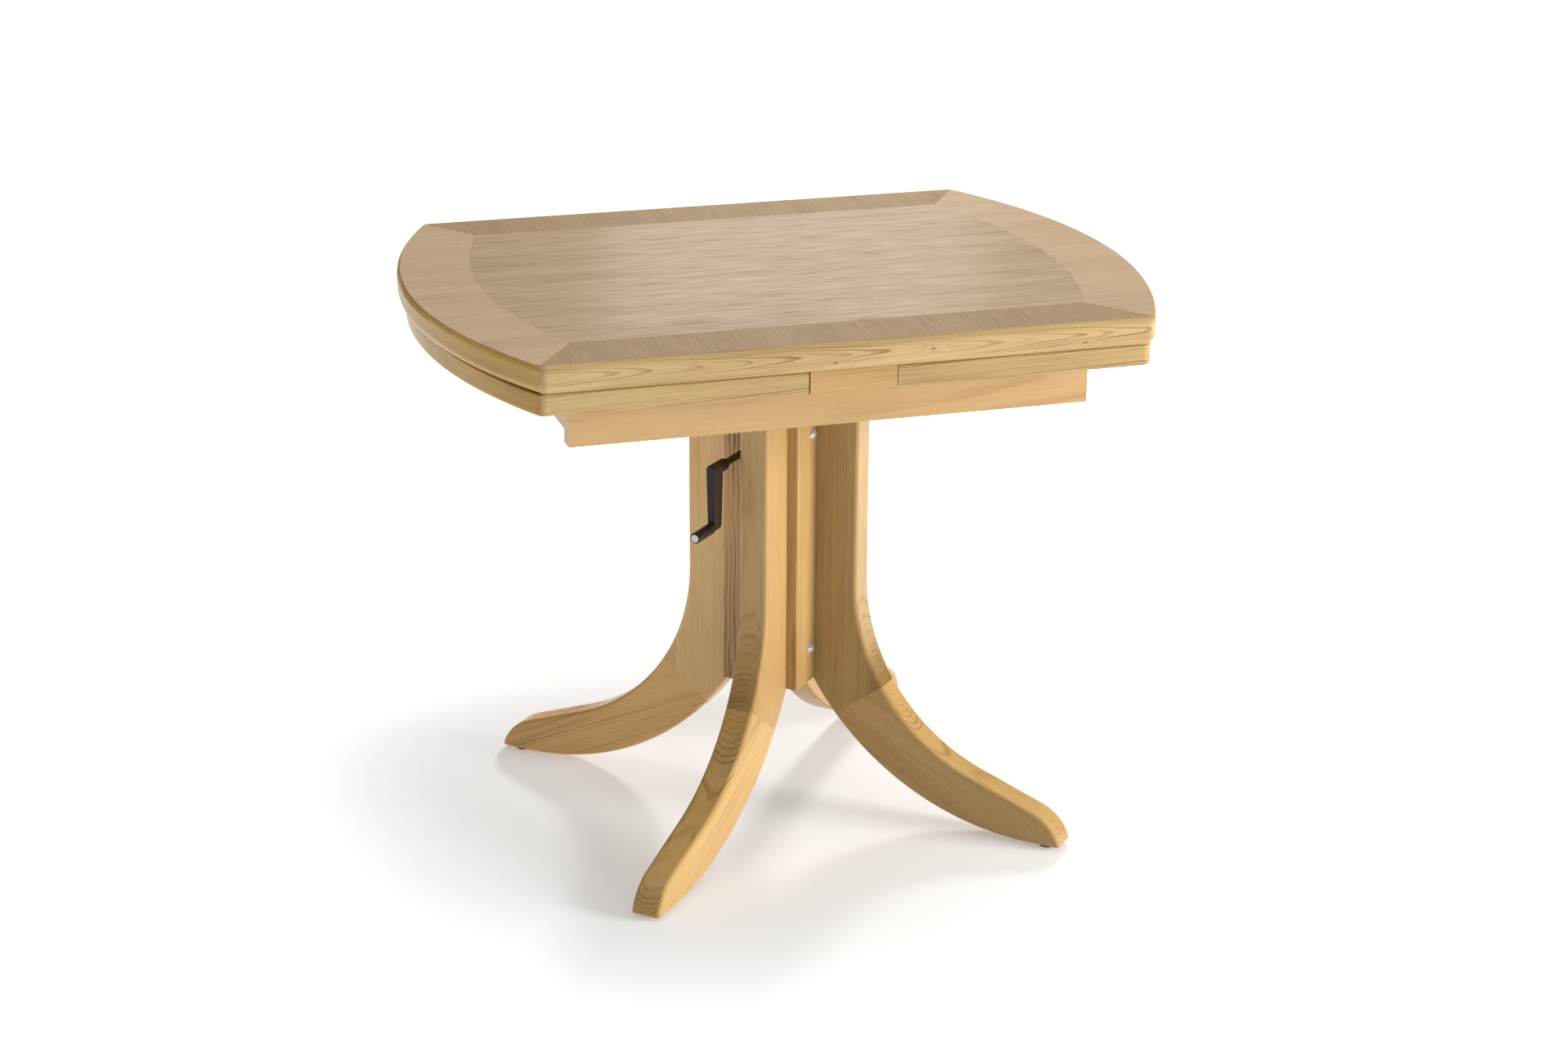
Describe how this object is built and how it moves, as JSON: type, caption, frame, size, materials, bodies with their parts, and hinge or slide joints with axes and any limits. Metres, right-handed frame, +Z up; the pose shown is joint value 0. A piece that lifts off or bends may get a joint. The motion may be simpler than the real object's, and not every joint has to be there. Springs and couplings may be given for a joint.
{
  "type": "draw leaf table",
  "caption": "Oak extending table with a barrel-shaped veneered top, draw leaves under it and a curved-leg pedestal whose height is set with a hand crank.",
  "frame": {"origin": "on the floor under the middle of the closed table", "axes": "+X along the table's length, the way the right leaf draws out, -Y to the front, +Z up"},
  "size_m": [0.8898, 0.68, 0.7],
  "materials": {
    "oak": "satin lacquer",
    "oak_veneer": "satin lacquer",
    "core_board": "raw board",
    "beech": "thin lacquer",
    "zinc_steel": "bright zinc",
    "steel": "oiled",
    "brass": "turned",
    "black_plastic": "satin",
    "pale_plastic": "matt"
  },
  "bodies": {
    "base": {"front_right_leg_upright": "oak", "front_right_leg_foot": "oak", "front_right_batten": "oak", "back_right_leg_upright": "oak", "back_right_leg_foot": "oak", "back_right_batten": "oak", "back_left_leg_upright": "oak", "back_left_leg_foot": "oak", "back_left_batten": "oak", "front_left_leg_upright": "oak", "front_left_leg_foot": "oak", "front_left_batten": "oak", "batten_bolts": "zinc_steel", "foot_glides": "black_plastic", "column_tube": "steel", "column_floor": "steel", "post_guides": "pale_plastic", "gear_bracket": "steel", "crank_bush": "brass"},
    "frame": {"front_apron": "beech", "back_apron": "beech", "front_long_rail": "beech", "back_long_rail": "beech", "left_end_rail": "beech", "right_end_rail": "beech", "corner_blocks": "beech", "centre_board": "beech", "post_plate": "steel", "plate_screws": "zinc_steel", "lift_post": "beech", "nut_bracket": "steel", "lift_nut": "brass"},
    "spindle": {"lift_spindle": "steel", "spindle_gear": "steel"},
    "crank": {"crank_shaft": "steel", "crank_gear": "steel", "crank_arm": "black_plastic"},
    "grip": {"grip_sleeve": "black_plastic", "grip_cap": "pale_plastic"},
    "top": {"top_core": "core_board", "guide_pegs": "beech", "front_lipping": "oak", "back_lipping": "oak", "left_lipping": "oak", "right_lipping": "oak", "field_veneer": "oak_veneer", "front_band_veneer": "oak_veneer", "back_band_veneer": "oak_veneer", "left_band_veneer": "oak_veneer", "right_band_veneer": "oak_veneer"},
    "left_leaf": {"left_leaf_panel": "oak_veneer", "left_leaf_end_lipping": "oak", "left_leaf_side_lippings": "oak", "left_lopers": "beech", "left_loper_stops": "beech"},
    "right_leaf": {"right_leaf_panel": "oak_veneer", "right_leaf_end_lipping": "oak", "right_leaf_side_lippings": "oak", "right_lopers": "beech", "right_loper_stops": "beech"}
  },
  "joints": [
    {"name": "height_lift", "type": "slide", "parent": "base", "child": "frame", "axis": [0, 0, 1], "range_m": [-0.036, 0.09]},
    {"name": "spindle_turn", "type": "hinge", "parent": "base", "child": "spindle", "pos_m": [-0.01022, -0.00133, 0.3], "axis": [0, 0, 1], "range_deg": [-3260, 1320]},
    {"name": "crank_turn", "type": "hinge", "parent": "base", "child": "crank", "pos_m": [-0.04051, -0.03324, 0.478], "axis": [-0.6884, -0.7254, 0], "range_deg": [-3260, 1320]},
    {"name": "grip_spin", "type": "hinge", "parent": "crank", "child": "grip", "pos_m": [-0.11554, -0.11231, 0.406], "axis": [-0.6884, -0.7254, 0], "continuous": true},
    {"name": "top_lift", "type": "slide", "parent": "frame", "child": "top", "axis": [0, 0, 1], "range_m": [0, 0.034]},
    {"name": "left_leaf_draw", "type": "slide", "parent": "frame", "child": "left_leaf", "axis": [-1, 0, 0], "range_m": [0, 0.318]},
    {"name": "right_leaf_draw", "type": "slide", "parent": "frame", "child": "right_leaf", "axis": [1, 0, 0], "range_m": [0, 0.318]}
  ],
  "couplings": [
    {"joint": "spindle_turn", "follows": "height_lift", "rad_per_m": -628.32},
    {"joint": "crank_turn", "follows": "height_lift", "rad_per_m": -628.32}
  ]
}
